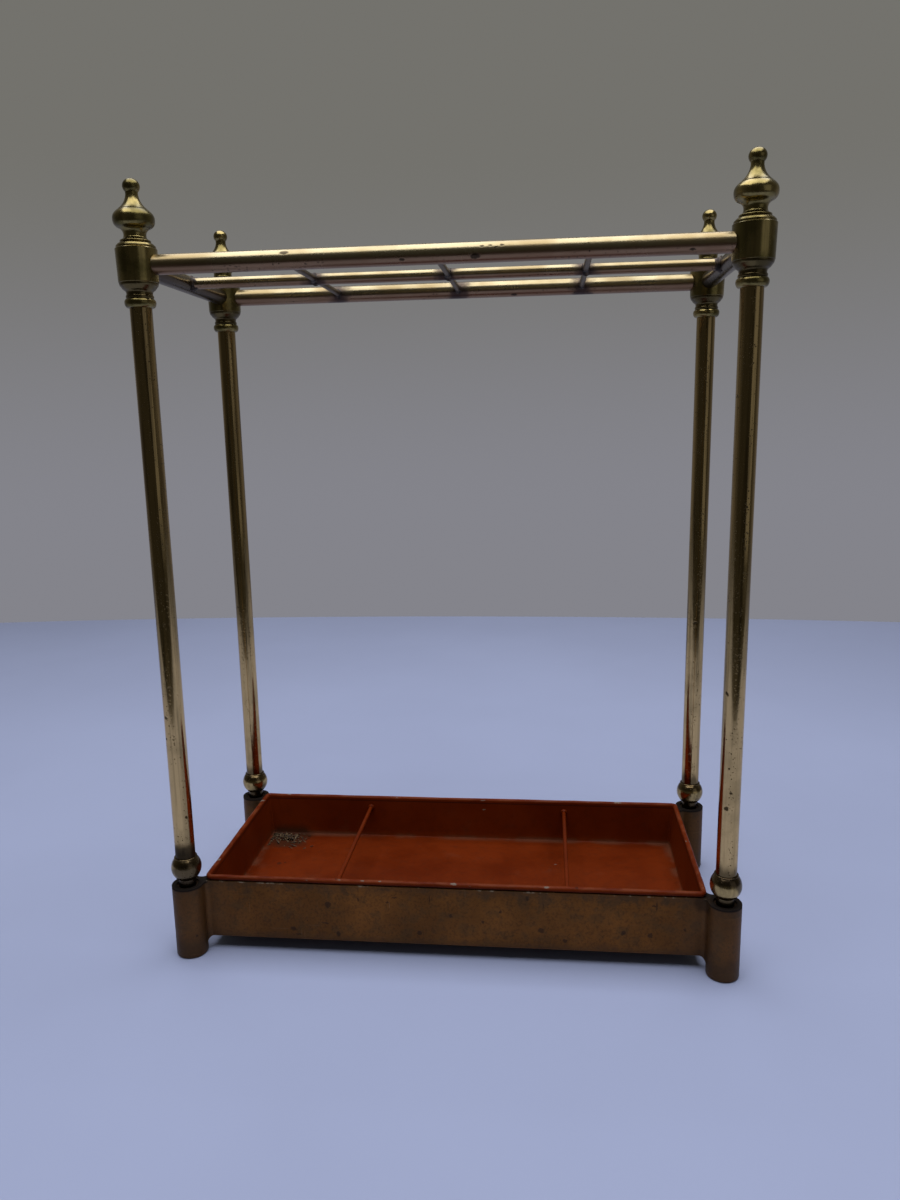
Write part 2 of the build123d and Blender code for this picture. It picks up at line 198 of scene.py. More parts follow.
class Finish:
    """One material in the making, with short calls for the nodes that the finishes share."""

    def __init__(self, name):
        self.material = bpy.data.materials.new(name)
        self.material.use_nodes = True
        self.tree = self.material.node_tree
        self.shader = self.tree.nodes["Principled BSDF"]
        self.place = self.add("ShaderNodeTexCoord").outputs["Object"]

    def add(self, kind, **settings):
        """A new node with its settings."""
        node = self.tree.nodes.new(kind)
        for key, value in settings.items():
            setattr(node, key, value)
        return node

    def feed(self, socket, value):
        """Links a node's output to a socket, or sets the socket to a plain value."""
        if isinstance(value, bpy.types.NodeSocket):
            self.tree.links.new(value, socket)
        else:
            socket.default_value = value

    def math(self, kind, first, second=0.0):
        """A sum of the named kind on two values, or on one."""
        node = self.add("ShaderNodeMath", operation=kind)
        self.feed(node.inputs[0], first)
        self.feed(node.inputs[1], second)
        return node.outputs[0]

    def plus(self, first, second):
        """Two values added up."""
        return self.math("ADD", first, second)

    def times(self, first, second):
        """A mask scaled by a share, or held to where a second mask is."""
        return self.math("MULTIPLY", first, second)

    def either(self, first, second):
        """The stronger of two masks."""
        return self.math("MAXIMUM", first, second)

    def sway(self, value, amount):
        """A noise moved to lie about zero, and scaled."""
        return self.times(self.math("SUBTRACT", value, 0.5), amount)

    def axis(self, letter):
        """One coordinate of the place."""
        node = self.add("ShaderNodeSeparateXYZ")
        self.feed(node.inputs[0], self.place)
        return node.outputs[letter]

    def reach(self, letter):
        """Distance from the middle of the stand along one axis."""
        return self.math("ABSOLUTE", self.axis(letter))

    def rise(self, level, start, end):
        """Height mask: 0 at one distance from a level and 1 at another."""
        return self.band(self.axis("Z"), level + start, level + end)

    def stretched(self, scale):
        """The place, scaled along each axis by itself."""
        node = self.add("ShaderNodeMapping")
        self.feed(node.inputs["Vector"], self.place)
        node.inputs["Scale"].default_value = scale
        return node.outputs[0]

    def noise(self, scale, detail=4.0, rough=0.55, stretch=(1, 1, 1)):
        """Cloudy noise about 0.5."""
        node = self.add("ShaderNodeTexNoise")
        self.feed(node.inputs["Vector"], self.stretched(stretch))
        node.inputs["Scale"].default_value = scale
        node.inputs["Detail"].default_value = detail
        node.inputs["Roughness"].default_value = rough
        return node.outputs["Fac"]

    def warped(self, scale, amount):
        """The place, pushed about by noise in all directions."""
        push = self.add("ShaderNodeTexNoise")
        self.feed(push.inputs["Vector"], self.place)
        push.inputs["Scale"].default_value = scale
        push.inputs["Detail"].default_value = 4.0
        centred = self.add("ShaderNodeVectorMath", operation="SUBTRACT")
        self.feed(centred.inputs[0], push.outputs["Color"])
        centred.inputs[1].default_value = (0.5, 0.5, 0.5)
        node = self.add("ShaderNodeVectorMath", operation="MULTIPLY_ADD")
        self.feed(node.inputs[0], centred.outputs[0])
        node.inputs[1].default_value = (amount, amount, amount)
        self.feed(node.inputs[2], self.place)
        return node.outputs[0]

    def cells(self, scale):
        """Distance from scattered points, with a number of its own for each point."""
        node = self.add("ShaderNodeTexVoronoi")
        self.feed(node.inputs["Vector"], self.place)
        node.inputs["Scale"].default_value = scale
        return node.outputs["Distance"], node.outputs["Color"]

    def band(self, value, low, high, at_low=0.0, at_high=1.0):
        """Smooth step from at_low to at_high as the value goes from low to high."""
        node = self.add("ShaderNodeMapRange", interpolation_type="SMOOTHSTEP")
        self.feed(node.inputs["Value"], value)
        self.feed(node.inputs["From Min"], low)
        self.feed(node.inputs["From Max"], high)
        self.feed(node.inputs["To Min"], at_low)
        self.feed(node.inputs["To Max"], at_high)
        return node.outputs["Result"]

    def blend(self, amount, first, second):
        """Colour between two colours."""
        node = self.add("ShaderNodeMix", data_type="RGBA")
        self.feed(node.inputs[0], amount)
        for socket, value in ((node.inputs[6], first), (node.inputs[7], second)):
            self.feed(socket, value if isinstance(value, bpy.types.NodeSocket) else (*value, 1))
        return node.outputs[2]

    def stain(self, colour, mask, share, tint):
        """A colour with a tint over it where a mask is, up to a share."""
        return self.blend(self.times(mask, share), colour, tint)

    def pits(self, scale, size, share):
        """Scattered ragged pits: the share of the cells that hold one, and their size in cells."""
        distance, own = self.cells(scale)
        ragged = self.sway(self.noise(3 * scale, 2), 2 * size)
        chosen = self.band(own, 1 - share - 0.02, 1 - share + 0.02)
        return self.times(self.band(self.plus(distance, ragged), size, size * 0.4), chosen)

    def marks(self, places, ragged=0.004, squeeze=(1, 1, 1)):
        """Single marks at known places, each a centre and a radius, with ragged edges. A squeeze
        under 1 makes them longer that way."""
        near = self.add("ShaderNodeVectorMath", operation="MULTIPLY")
        self.feed(near.inputs[0], self.warped(1 / ragged, ragged))
        near.inputs[1].default_value = squeeze
        found = 0.0
        for centre, radius in places:
            node = self.add("ShaderNodeVectorMath", operation="DISTANCE")
            self.feed(node.inputs[0], near.outputs[0])
            node.inputs[1].default_value = Vector(centre) * Vector(squeeze)
            found = self.either(self.band(node.outputs["Value"], radius, radius * 0.55), found)
        return found

    def wear(self):
        """Rounded edges, as stored on the mesh."""
        return self.add("ShaderNodeAttribute", attribute_name="wear").outputs["Fac"]

    def bump(self, height, distance, strength):
        """Relief of the surface from a height."""
        node = self.add("ShaderNodeBump")
        node.inputs["Strength"].default_value = strength
        node.inputs["Distance"].default_value = distance
        self.feed(node.inputs["Height"], height)
        self.feed(self.shader.inputs["Normal"], node.outputs["Normal"])

    def set(self, **values):
        """Sets sockets of the shader by name, with _ for a space."""
        for key, value in values.items():
            self.feed(self.shader.inputs[key.replace("_", " ")], value)
        return self.material


# Brass
BRIGHT_BRASS = (0.68, 0.465, 0.200)
WARM_BRASS = (0.36, 0.25, 0.105)
LEG_BRASS = (0.33, 0.228, 0.092)
RAIL_BRASS = (0.37, 0.300, 0.165)
RAIL_TARNISH = (0.27, 0.198, 0.093)
DULL_RAIL = (0.115, 0.078, 0.045)
HEAD_BRASS = (0.220, 0.172, 0.058)
HEAD_TARNISH = (0.122, 0.096, 0.030)
# Brighter than the heads' brass: partly a painted reflection of the pale floor on the balls
BALL_BRASS = (0.450, 0.326, 0.124)
BALL_TARNISH = (0.150, 0.106, 0.052)
ROD_BRASS = (0.175, 0.122, 0.070)
ROD_TARNISH = (0.078, 0.052, 0.030)
BROWN_TARNISH = (0.085, 0.058, 0.026)
PIT_BROWN = (0.030, 0.021, 0.013)
COPPERY_REFLECTION = (0.240, 0.136, 0.078)
SIDE_RAIL_UNDERSIDE_SHADE = (0.055, 0.036, 0.022)
SOLDER_SMOKE = (0.050, 0.033, 0.028)
SHADE_BROWN = (0.050, 0.033, 0.019)
OLD_FLUX = (0.024, 0.015, 0.010)
SOLDER_DARK = (0.022, 0.014, 0.009)
SOLDER_BROWN = (0.095, 0.064, 0.040)

# Bronzed casting
BRONZE_DEEP = (0.155, 0.058, 0.010)
BRONZE_LIGHT = (0.235, 0.086, 0.014)
BRONZE_BLOTCH = (0.092, 0.047, 0.014)
BRONZE_GRAIN = (0.060, 0.027, 0.008)
BRONZE_END_SHADE = (0.085, 0.048, 0.022)
CASTING_SHADE = (0.055, 0.034, 0.018)
SEAT_SHADE = (0.012, 0.010, 0.009)
DENT_BROWN = (0.034, 0.018, 0.008)
SPOT_BROWN = (0.030, 0.017, 0.010)
SCRATCH_COPPER = (0.32, 0.19, 0.09)
WORN_EDGE = (0.44, 0.34, 0.22)

# Red paint
RED_DEEP = (0.101, 0.0116, 0.0010)
RED_LIGHT = (0.138, 0.0176, 0.0014)
RED_MOTTLE = (0.068, 0.012, 0.003)
RED_RUBBED_HIGHLIGHT = (0.200, 0.052, 0.018)
PAINT_DUST = (0.130, 0.064, 0.034)
PAINT_STAIN = (0.028, 0.009, 0.004)
LEAF_STAIN = (0.028, 0.013, 0.006)
RIM_SHADOW = (0.030, 0.007, 0.003)
CHIP_GREY = (0.200, 0.158, 0.118)
NICK_BROWN = (0.030, 0.010, 0.005)

# Steel, leaves and floor
STEEL_GREY = (0.33, 0.32, 0.31)
RUST = (0.13, 0.055, 0.025)
LEAF_DARK = (0.021, 0.013, 0.006)
LEAF_BROWN = (0.082, 0.043, 0.015)
LEAF_PALE = (0.180, 0.118, 0.048)
FLOOR_DEEP = (0.345, 0.378, 0.520)
FLOOR_PALE = (0.362, 0.397, 0.545)

# Where masks begin and end, as distances along an axis
LEG_TARNISH_AND_REFLECTION_HEIGHT = (0.20, 0.34)
LEG_FOOT_DARK_BAND = (0.024, 0.012)         # above the lower end of the tube
RAIL_UNDERSIDE = (-0.0002, -0.0026)     # from the axis of the rail
SMOKE_FROM = (-0.106, -0.096)           # keeps off the front of the front rail
SMOKE_ENDS = (0.20, 0.18)               # keeps off the ends of the rails
CASTING_ENDS = (0.180, 0.238)
CASTING_TOP = (0.058, 0.070)
CASTING_FLOOR = (0.022, 0.012)
FOOT_X = (0.2268, 0.2290)
FOOT_Y = (0.0790, 0.0840)
APRON_END = (0.232, 0.228)
FOLD_X = (0.212, 0.221)
FOLD_Y = (0.080, 0.088)

# Single marks: a place and a radius
LEG_MARKS = [
    ((-0.2496, -0.1097, 0.2341), 0.0022),
    ((-0.2509, -0.1088, 0.2140), 0.0018),
    (leg_axis["front_left"] + Vector((0, 0, tube_bottom + 0.0140)), 0.0160),
    ((-0.2383, -0.1081, 0.1390), 0.0016),
    ((0.2409, -0.1100, 0.1611), 0.0026),
    ((0.2440, -0.1109, 0.1751), 0.0016),
    ((0.2379, -0.1076, 0.2621), 0.0022),
    ((0.2431, 0.0932, 0.2776), 0.0022),
]
RAIL_MARKS = [
    ((-0.1200, -0.1090, 0.6232), 0.0025),
    ((0.0325, -0.1085, 0.6152), 0.0028),
    ((0.0380, -0.1095, 0.6222), 0.0011),
    ((0.0443, -0.1094, 0.6227), 0.0012),
    ((0.0489, -0.1094, 0.6208), 0.0011),
    ((0.0535, -0.1093, 0.6225), 0.0013),
    ((-0.0251, -0.1087, 0.6146), 0.0016),
    ((0.1780, -0.1090, 0.6203), 0.0011),
    ((0.1983, -0.1084, 0.6140), 0.0015),
    ((0.0557, 0.0973, 0.6125), 0.0022),
]


def leg_brass():
    """Brass tube: bright and pitted near the floor, streaked with olive tarnishing higher up; the bright low
    part is a painted reflection of the pale floor, and the dark high part is tarnishing with a painted
    reflection of the dark room.
    """
    f = Finish("leg_brass")
    streak = f.noise(1.0, 5, 0.6, (190, 190, 6))
    cloud = f.noise(26, 5)
    # Bright below and dark above: tarnishing, with a painted reflection of the pale floor low down and of
    # the dark room higher up
    tarnish_and_reflection = f.band(f.plus(f.axis("Z"), f.sway(streak, 0.34)), *LEG_TARNISH_AND_REFLECTION_HEIGHT)
    colour = f.blend(tarnish_and_reflection, BRIGHT_BRASS, LEG_BRASS)
    warm = f.times(f.band(cloud, 0.46, 0.66), f.band(tarnish_and_reflection, 0.0, 1.0, 0.55, 0.25))
    colour = f.blend(warm, colour, WARM_BRASS)
    dark_streak = f.times(f.band(streak, 0.48, 0.64), f.band(tarnish_and_reflection, 0.0, 1.0, 0.30, 0.65))
    colour = f.blend(dark_streak, colour, BROWN_TARNISH)
    # Darker band just above the ball collar
    low = f.plus(f.axis("Z"), f.sway(streak, 0.03))
    low_dark_band = f.band(low, *(tube_bottom + height for height in LEG_FOOT_DARK_BAND), 0.0, 0.85)
    colour = f.blend(low_dark_band, colour, BROWN_TARNISH)
    crowd = f.band(f.noise(1.0, 4, 0.6, (120, 120, 22)), 0.42, 0.58)
    pits = f.times(f.either(f.pits(480, 0.34, 0.42), f.pits(190, 0.22, 0.20)), crowd)
    pits = f.either(pits, f.marks(LEG_MARKS))
    scratch = f.times(f.band(f.noise(1.0, 3, 0.6, (1500, 1500, 40)), 0.60, 0.68), crowd)
    colour = f.stain(colour, scratch, 0.5, BROWN_TARNISH)
    colour = f.stain(colour, pits, 0.85, PIT_BROWN)
    ripple = f.noise(90, 1)
    f.bump(f.math("SUBTRACT", ripple, f.times(pits, 3.0)), 0.00005, 0.5)
    rough = f.plus(f.band(cloud, 0.3, 0.7, 0.10, 0.17), f.times(pits, 0.4))
    return f.set(Base_Color=colour, Metallic=1.0, Roughness=rough)


def rail_brass(name, stretch, dull, underside_shading):
    """Brass rail: polished by hands, with a painted colour on its lower side (a painted reflection of the
    red tray and floor on the long rails, painted shade on the side rails), smudged where rods are soldered,
    with nicks.
    """
    f = Finish(name)
    streak = f.noise(1.0, 3, 0.5, stretch)
    cloud = f.noise(30, 2)
    colour = f.blend(f.band(cloud, 0.36, 0.66), RAIL_BRASS, RAIL_TARNISH)
    colour = f.blend(dull, colour, DULL_RAIL)
    # Lower side of the rail: painted reflection of the red tray and floor on the long rails, painted shade
    # on the side rails
    below = f.rise(rail_height, *RAIL_UNDERSIDE)
    colour = f.stain(colour, below, 0.85, underside_shading)
    colour = f.stain(colour, f.band(streak, 0.52, 0.72), 0.4, BROWN_TARNISH)
    bay = f.math("PINGPONG", f.axis("X"), rod_bay / 2)
    smoke = f.plus(bay, f.sway(f.noise(120, 4), 0.022))
    inner = f.times(f.band(f.axis("Y"), *SMOKE_FROM), f.band(f.reach("X"), *SMOKE_ENDS))
    smudge = f.times(f.band(smoke, 0.016, 0.002), inner)
    colour = f.stain(colour, smudge, 0.9, SOLDER_SMOKE)
    patchy = f.band(f.noise(20, 4), 0.48, 0.62)
    pits = f.times(f.pits(300, 0.20, 0.05), patchy)
    grit = f.times(f.times(f.pits(380, 0.36, 0.40), patchy), below)
    pits = f.either(f.either(pits, grit), f.marks(RAIL_MARKS, 0.002, (0.55, 1, 1)))
    colour = f.stain(colour, pits, 0.9, PIT_BROWN)
    ripple = f.noise(45, 0)
    f.bump(f.math("SUBTRACT", ripple, f.times(pits, 3.0)), 0.00005, 0.5)
    rough = f.plus(f.band(cloud, 0.3, 0.7, 0.25, 0.33), f.times(smudge, 0.2))
    return f.set(Base_Color=colour, Metallic=1.0, Roughness=rough)


def turned_brass(name, clean, tarnished, fresh, pit_share, polish, shade_bands):
    """Turned brass: olive with age, brighter where rubbing has worn it, and darker between some levels with
    painted shade.
    """
    f = Finish(name)
    cloud = f.noise(50, 3)
    rings = f.noise(1.0, 4, 0.6, (14, 14, 900))
    streak = f.noise(1.0, 4, 0.6, (420, 420, 18))
    colour = f.blend(f.band(cloud, 0.40, 0.62), clean, tarnished)
    colour = f.stain(colour, f.band(cloud, 0.60, 0.36), fresh, BRIGHT_BRASS)
    colour = f.stain(colour, f.band(streak, 0.48, 0.64), 0.30, BROWN_TARNISH)
    pits = f.times(f.pits(420, 0.32, pit_share), f.band(f.noise(70, 3), 0.42, 0.58))
    colour = f.stain(colour, pits, 0.9, PIT_BROWN)
    # Painted shade between the two levels of each band
    for low, high, share in shade_bands:
        darkening = f.times(f.rise(low, -0.0012, 0.0012), f.rise(high, 0.0012, -0.0008))
        colour = f.stain(colour, darkening, share, SHADE_BROWN)
    f.bump(f.plus(f.times(rings, 0.3), f.times(pits, -2.0)), 0.00005, 0.5)
    rough = f.plus(f.band(cloud, 0.3, 0.7, *polish), f.times(pits, 0.4))
    return f.set(Base_Color=colour, Metallic=1.0, Roughness=rough)


def dull_brass():
    """Cross rods: nearly grey with old tarnishing and flux."""
    f = Finish("dull_rod_brass")
    cloud = f.noise(120, 5)
    streak = f.noise(1.0, 4, 0.6, (500, 30, 500))
    colour = f.blend(f.band(cloud, 0.38, 0.64), ROD_TARNISH, ROD_BRASS)
    colour = f.stain(colour, f.band(streak, 0.52, 0.7), 0.8, OLD_FLUX)
    f.bump(f.noise(900, 3), 0.00005, 0.6)
    return f.set(Base_Color=colour, Metallic=1.0, Roughness=f.band(cloud, 0.3, 0.7, 0.34, 0.48))


def solder():
    """Dark, lumpy solder round the joints of the grid."""
    f = Finish("old_solder")
    cloud = f.noise(260, 5)
    colour = f.blend(f.band(cloud, 0.42, 0.66), SOLDER_DARK, SOLDER_BROWN)
    f.bump(f.noise(500, 4), 0.0002, 0.7)
    return f.set(Base_Color=colour, Metallic=0.7, Roughness=f.band(cloud, 0.3, 0.7, 0.62, 0.42))


PANEL_Y = -0.097            # face of the front panel
PANEL_SPOTS = [
    ((-0.1135, PANEL_Y, 0.0501), 0.0036),
    ((-0.0842, PANEL_Y, 0.0566), 0.0017),
    ((-0.0566, PANEL_Y, 0.0547), 0.0018),
    ((-0.1341, PANEL_Y, 0.0330), 0.0014),
    ((-0.1473, PANEL_Y, 0.0246), 0.0032),
    ((-0.1041, PANEL_Y, 0.0208), 0.0028),
    ((-0.0277, PANEL_Y, 0.0251), 0.0024),
    ((0.0017, PANEL_Y, 0.0435), 0.0021),
    ((0.0468, PANEL_Y, 0.0496), 0.0021),
    ((0.0307, PANEL_Y, 0.0389), 0.0018),
    ((0.0844, PANEL_Y, 0.0322), 0.0034),
    ((0.1062, PANEL_Y, 0.0231), 0.0028),
    ((0.0713, PANEL_Y, 0.0637), 0.0024),
    ((0.1576, PANEL_Y, 0.0326), 0.0028),
    ((0.1822, PANEL_Y, 0.0318), 0.0028),
    ((0.2124, PANEL_Y, 0.0379), 0.0020),
    ((0.2275, -0.100, 0.0660), 0.0110),
]
PANEL_SCRATCHES = [
    ((-0.0179, PANEL_Y, 0.0598), 0.0007),
    ((0.1869, PANEL_Y, 0.0608), 0.0009),
    ((0.0860, PANEL_Y, 0.0570), 0.0005),
]
PANEL_DASHES = [
    ((-0.1167, PANEL_Y, 0.0314), 0.0010),
    ((-0.1420, PANEL_Y, 0.0188), 0.0009),
    ((-0.0504, PANEL_Y, 0.0597), 0.0008),
    ((0.1850, PANEL_Y, 0.0610), 0.0008),
]


def panel_dents(f):
    """Dark spots, scratches and dashes of the front panel, at their places."""
    scratches = f.marks(PANEL_SCRATCHES, 0.001, (1, 1, 0.16))
    dashes = f.marks(PANEL_DASHES, 0.002, (0.22, 1, 1))
    return f.either(f.marks(PANEL_SPOTS, 0.005), f.either(scratches, dashes))


def bronzed_iron():
    """Casting with a worn bronze finish: brown in the middle, darker towards the feet with painted shade,
    spotted and scratched; painted shade also lies along its top and bottom and in the seats of the balls.
    """
    f = Finish("bronzed_casting")
    cloud = f.noise(19, 6, 0.62)
    blotch = f.noise(75, 6, 0.65)
    grain = f.noise(420, 5, 0.7)
    colour = f.blend(f.band(cloud, 0.36, 0.64), BRONZE_DEEP, BRONZE_LIGHT)
    colour = f.stain(colour, f.band(blotch, 0.46, 0.64), 0.62, BRONZE_BLOTCH)
    colour = f.stain(colour, f.band(grain, 0.48, 0.62), 0.45, BRONZE_GRAIN)
    # Painted shade towards the feet
    outward = f.plus(f.reach("X"), f.sway(cloud, 0.09))
    colour = f.stain(colour, f.band(outward, *CASTING_ENDS), 0.55, BRONZE_END_SHADE)
    # Painted shade along the top under the tray's rim and along the bottom by the floor
    height = f.plus(f.axis("Z"), f.sway(blotch, 0.03))
    darkening = f.either(f.band(height, *CASTING_TOP), f.band(height, *CASTING_FLOOR))
    colour = f.stain(colour, darkening, 0.45, CASTING_SHADE)
    # Painted shade in the seats of the balls
    on_foot = f.times(f.band(f.reach("X"), *FOOT_X), f.band(f.reach("Y"), *FOOT_Y))
    seat = f.times(f.rise(foot_top, -0.0025, -0.0008), on_foot)
    colour = f.stain(colour, seat, 0.9, SEAT_SHADE)
    patchy = f.band(f.noise(25, 3), 0.42, 0.56)
    spots = f.times(f.either(f.pits(90, 0.12, 0.22), f.pits(210, 0.26, 0.12)), patchy)
    dents = panel_dents(f)
    colour = f.stain(colour, dents, 0.70, DENT_BROWN)
    colour = f.stain(colour, spots, 0.75, SPOT_BROWN)
    level_scratch = f.band(f.noise(1.0, 2, 0.5, (22, 22, 1100)), 0.72, 0.75)
    upright_scratch = f.band(f.noise(1.0, 2, 0.5, (900, 900, 30)), 0.75, 0.78)
    colour = f.stain(colour, f.either(level_scratch, upright_scratch), 0.35, SCRATCH_COPPER)
    edge = f.times(f.rise(foot_top, -0.0012, -0.0006), f.band(f.reach("X"), *APRON_END))
    worn = f.times(f.either(f.wear(), edge), f.band(f.noise(130, 4), 0.56, 0.66))
    colour = f.stain(colour, worn, 0.55, WORN_EDGE)
    hollow = f.either(spots, f.times(dents, 0.6))
    relief = f.plus(f.times(grain, 0.5), f.times(hollow, -1.2))
    f.bump(f.plus(relief, f.noise(11, 3)), 0.0003, 0.5)
    rough = f.plus(f.band(cloud, 0.3, 0.7, 0.50, 0.38), f.times(grain, 0.10))
    rough = f.plus(rough, f.times(seat, 0.35))
    return f.set(Base_Color=colour, Metallic=0.65, Roughness=rough, Specular_IOR_Level=0.3)


PAINT_CHIPS = [
    ((0.0046, -0.0957, 0.0748), 0.0016),
    ((0.0890, -0.0957, 0.0748), 0.0014),
    ((-0.1020, -0.0957, 0.0748), 0.0009),
    ((-0.0800, -0.0957, 0.0748), 0.0009),
    ((-0.0640, -0.0957, 0.0748), 0.0008),
    ((0.1660, 0.0945, 0.0750), 0.0015),
    ((-0.2030, 0.0945, 0.0750), 0.0015),
    ((0.0200, 0.0905, 0.0640), 0.0013),
    ((0.0986, 0.0340, tray_low.z + SHEET), 0.0009),
]
PAINT_NICKS = [
    ((-0.1050, -0.0945, 0.0748), 0.0016),
    ((0.1160, -0.0950, 0.0745), 0.0020),
    ((-0.1946, 0.0164, tray_low.z + SHEET), 0.0032),
    ((-0.1890, 0.0190, tray_low.z + SHEET), 0.0018),
]
LEAF_HEAP = [((-0.200, 0.076, tray_low.z), 0.030)]


def paint_dust(f):
    """Thin dust all over, and more along the folds of the floor."""
    on_floor = f.rise(tray_low.z, 0.006, 0.002)
    fold = f.either(f.band(f.reach("Y"), *FOLD_Y), f.band(f.reach("X"), *FOLD_X))
    swept = f.times(f.times(fold, on_floor), f.band(f.noise(45, 5), 0.40, 0.62))
    thin = f.times(f.band(f.noise(36, 6, 0.65), 0.56, 0.80), 0.12)
    return f.either(thin, f.times(swept, 0.4))


def red_paint():
    """Red-oxide paint on tin, dusty in the corners of the floor, with pale chips along the edge, a painted
    highlight along the crest of the rim and a painted shadow under the rim.
    """
    f = Finish("tray_paint")
    cloud = f.noise(15, 5, 0.6)
    fine = f.noise(160, 5, 0.6)
    colour = f.blend(f.band(cloud, 0.35, 0.66), RED_DEEP, RED_LIGHT)
    colour = f.stain(colour, f.band(fine, 0.48, 0.72), 0.35, RED_MOTTLE)
    dust = paint_dust(f)
    colour = f.blend(dust, colour, PAINT_DUST)
    colour = f.stain(colour, f.pits(45, 0.10, 0.14), 0.5, PAINT_STAIN)
    darkening = f.times(f.marks(LEAF_HEAP, 0.020), f.rise(tray_low.z, 0.014, 0.004))
    colour = f.stain(colour, darkening, 0.75, LEAF_STAIN)
    # Lighter along the crest of the rim: paint worn by rubbing and a painted highlight
    crest = f.rise(tray_high.z, -0.0022, -0.0008)
    rubbed_and_highlight = f.times(crest, f.band(f.noise(1.0, 3, 0.5, (60, 60, 400)), 0.40, 0.60))
    colour = f.stain(colour, rubbed_and_highlight, 0.45, RED_RUBBED_HIGHLIGHT)
    # Painted shadow under the rolled rim
    shadow_under_rim = f.times(f.rise(tray_high.z, -0.0054, -0.0048), f.rise(tray_high.z, -0.0034, -0.0042))
    colour = f.stain(colour, shadow_under_rim, 0.7, RIM_SHADOW)
    chips = f.times(f.band(f.noise(1.0, 3, 0.5, (90, 90, 260)), 0.69, 0.72), crest)
    chips = f.either(chips, f.marks(PAINT_CHIPS, 0.002, (0.45, 1, 1)))
    colour = f.stain(colour, chips, 0.9, CHIP_GREY)
    colour = f.stain(colour, f.marks(PAINT_NICKS, 0.002), 0.65, NICK_BROWN)
    f.bump(f.math("SUBTRACT", f.noise(260, 4), f.times(chips, 1.5)), 0.00018, 0.5)
    rough = f.plus(f.band(cloud, 0.3, 0.7, 0.36, 0.48), f.times(dust, 0.5))
    return f.set(Base_Color=colour, Metallic=0.0, Roughness=rough, Specular_IOR_Level=0.06)


def plain_steel():
    """Tie rods, nuts, washers and the wire in the tray's edge: grey steel with a little rust."""
    f = Finish("plain_steel")
    rust = f.band(f.noise(180, 5, 0.6), 0.52, 0.68)
    colour = f.blend(rust, STEEL_GREY, RUST)
    f.bump(f.noise(500, 4), 0.0001, 0.5)
    return f.set(Base_Color=colour, Metallic=0.9, Roughness=f.band(rust, 0, 1, 0.34, 0.7))


def dry_crust():
    """Crumbs of dried leaves and dirt."""
    f = Finish("dry_crumbs")
    kind = f.noise(420, 2)
    colour = f.blend(f.band(kind, 0.42, 0.50), LEAF_DARK, LEAF_BROWN)
    colour = f.blend(f.band(kind, 0.57, 0.62), colour, LEAF_PALE)
    f.bump(f.noise(900, 4), 0.0003, 0.8)
    return f.set(Base_Color=colour, Roughness=0.9)


def pale_floor():
    """Plain floor with the faintest of clouds."""
    f = Finish("pale_floor")
    colour = f.blend(f.band(f.noise(1.7, 4), 0.35, 0.65), FLOOR_DEEP, FLOOR_PALE)
    return f.set(Base_Color=colour, Roughness=0.85)


# Pieces

def make_piece(mesh, name, body, material):
    """Turns a bmesh into a piece that rides on a body."""
    data = bpy.data.meshes.new(name)
    mesh.to_mesh(data)
    mesh.free()
    data.materials.append(material)
    data.shade_smooth()
    data.set_sharp_from_angle(angle=SHARP)
    piece = bpy.data.objects.new(name, data)
    bpy.context.scene.collection.objects.link(piece)
    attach(piece, body)
    return piece


def uneven(mesh, amount, scale, straight_level=None):
    """Moves the points of a mesh along their normals by smooth noise, except at a straight level."""
    mesh.normal_update()
    for vert in mesh.verts:
        if straight_level is None or abs(vert.co.z - straight_level) > MERGE:
            vert.co += vert.normal * noise.noise(vert.co * scale) * amount


def bend(start, start_handle, end_handle, end):
    """Points of a curve in the profile plane, without the first one."""
    knots = [Vector((radius, height, 0)) for radius, height in (start, start_handle, end_handle, end)]
    curve = interpolate_bezier(*knots, ARC_STEPS + 1)
    return [(point.x, point.y) for point in curve[1:]]


def arc(centre_height, radius, low, high):
    """Points on a ball about the axis between two angles in degrees above its middle."""
    angles = [math.radians(low + (high - low) * step / (2 * ARC_STEPS)) for step in range(2 * ARC_STEPS + 1)]
    return [(radius * math.cos(angle), centre_height + radius * math.sin(angle)) for angle in angles]


def quarter(start, corner, end):
    """Points of a round quarter inside a corner, without the first one."""
    def handle(point):
        return [place + ROUND_HANDLE * (aim - place) for place, aim in zip(point, corner)]

    return bend(start, handle(start), handle(end), end)


def bead(neck, crown, low, high):
    """Points of a half-round bead, from a neck out to its crown and back."""
    half = (low + high) / 2
    outward = quarter((neck, low), (crown, low), (crown, half))
    return outward + quarter((crown, half), (crown, high), (neck, high))


def spin_round(mesh, profile, steps):
    """Turns a line through points of radius and height about the Z axis."""
    points = [mesh.verts.new((radius, 0, height)) for radius, height in profile]
    edges = [mesh.edges.new(pair) for pair in zip(points, points[1:])]
    bmesh.ops.spin(mesh, geom=points + edges, cent=(0, 0, 0), axis=(0, 0, 1), dvec=(0, 0, 0),
                   angle=math.tau, steps=steps, use_merge=True)


def turn(profile, base):
    """Bmesh turned about an upright axis from points of radius and height above a base point."""
    mesh = bmesh.new()
    spin_round(mesh, profile, TURN_STEPS)
    bmesh.ops.remove_doubles(mesh, verts=mesh.verts, dist=MERGE)
    bmesh.ops.recalc_face_normals(mesh, faces=mesh.faces)
    bmesh.ops.translate(mesh, verts=mesh.verts, vec=base)
    return mesh


